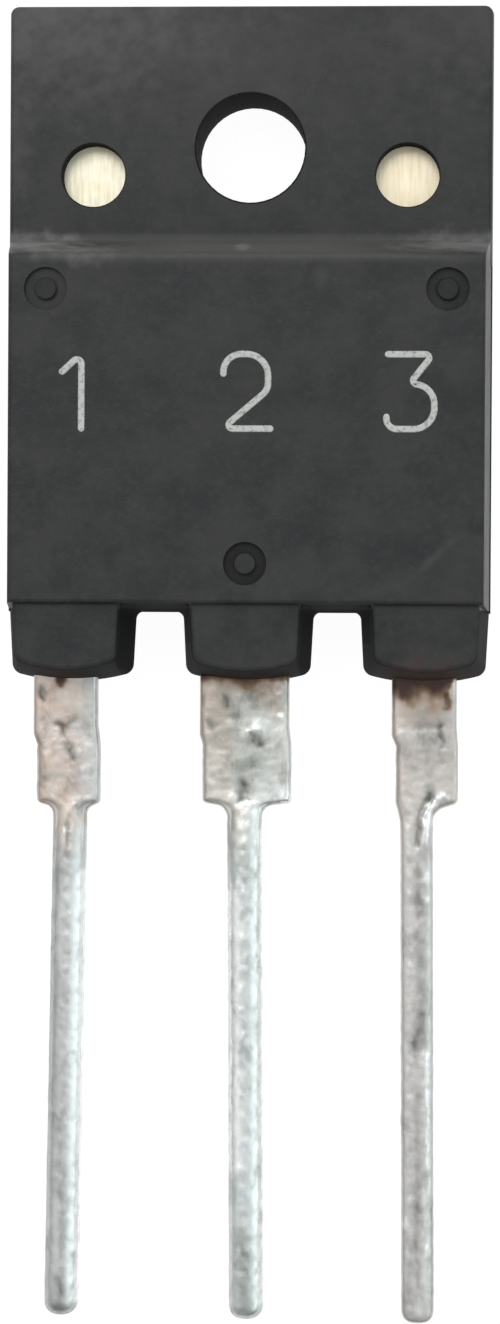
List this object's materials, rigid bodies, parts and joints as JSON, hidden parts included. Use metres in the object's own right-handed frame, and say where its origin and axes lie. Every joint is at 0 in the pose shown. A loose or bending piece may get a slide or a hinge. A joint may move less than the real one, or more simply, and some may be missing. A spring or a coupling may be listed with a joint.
{
  "type": "power transistor",
  "caption": "Power transistor in a fully moulded flat package with a screw-hole tab and flat stepped leads, for bolting to a heat sink and soldering to a board.",
  "frame": {"origin": "on the screw hole's axis, at the flat back face that seats on a heat sink", "axes": "+Z out of the front face along the screw hole, +Y from the leads towards the mounting tab, +X to the emitter lead's side"},
  "size_m": [0.016, 0.0434, 0.0056],
  "materials": {
    "moulding": "fine matt moulded epoxy",
    "plated_copper": "copper, nickel plated and hot dipped in solder",
    "silicon": "sawn silicon with an aluminised front",
    "solder": "reflowed high-lead solder",
    "bond_aluminium": "drawn wire"
  },
  "bodies": {
    "root": {"moulded_body": "moulding", "collector_header": "plated_copper", "base_lead": "plated_copper", "emitter_lead": "plated_copper", "transistor_die": "silicon", "die_solder": "solder", "base_bond_wire": "bond_aluminium", "emitter_bond_wire_inner": "bond_aluminium", "emitter_bond_wire_outer": "bond_aluminium"}
  },
  "joints": []
}
